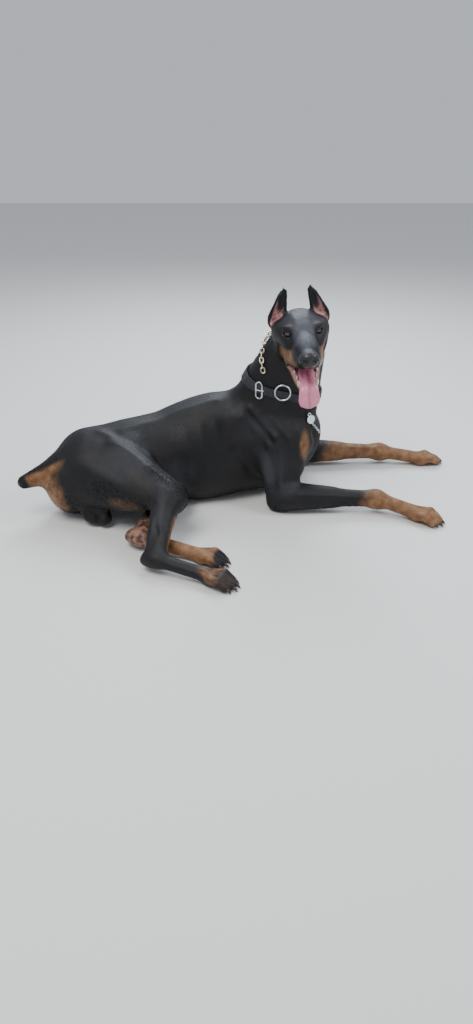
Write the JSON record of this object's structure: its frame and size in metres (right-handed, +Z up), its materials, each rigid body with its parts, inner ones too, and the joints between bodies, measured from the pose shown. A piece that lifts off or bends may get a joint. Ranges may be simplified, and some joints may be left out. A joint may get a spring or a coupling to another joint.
{
  "type": "lying doberman pinscher",
  "caption": "Lying male doberman with its head raised and turned, mouth open, cropped ears and docked tail, wearing a broad strap, a chain collar and a round tag",
  "frame": {"origin": "on the floor, under the middle of the whole dog's box", "axes": "+X to the side the body faces and the forelegs reach, -Y to the dog's right where its face looks, +Z up"},
  "size_m": [1.248, 0.788, 0.6158],
  "materials": {
    "coat": "short glossy hair",
    "rust": "short hair",
    "tongue": "wet",
    "eye": "wet gloss",
    "strap": "woven webbing",
    "metal": "polished links",
    "tag": "smooth"
  },
  "bodies": {
    "root": {"torso": "coat", "neck": "coat", "tail": "coat", "foreleg_right": "rust", "foreleg_left": "rust", "hind_leg_right": "coat", "hind_leg_left": "coat", "head": "coat", "lower_jaw": "rust", "tongue": "tongue", "ear_right": "coat", "ear_left": "coat", "eye_right": "eye", "eye_left": "eye", "collar": "strap", "chain_collar": "metal", "collar_ring": "metal", "collar_buckle": "metal", "tag": "tag", "tag_chain": "metal"}
  },
  "joints": []
}
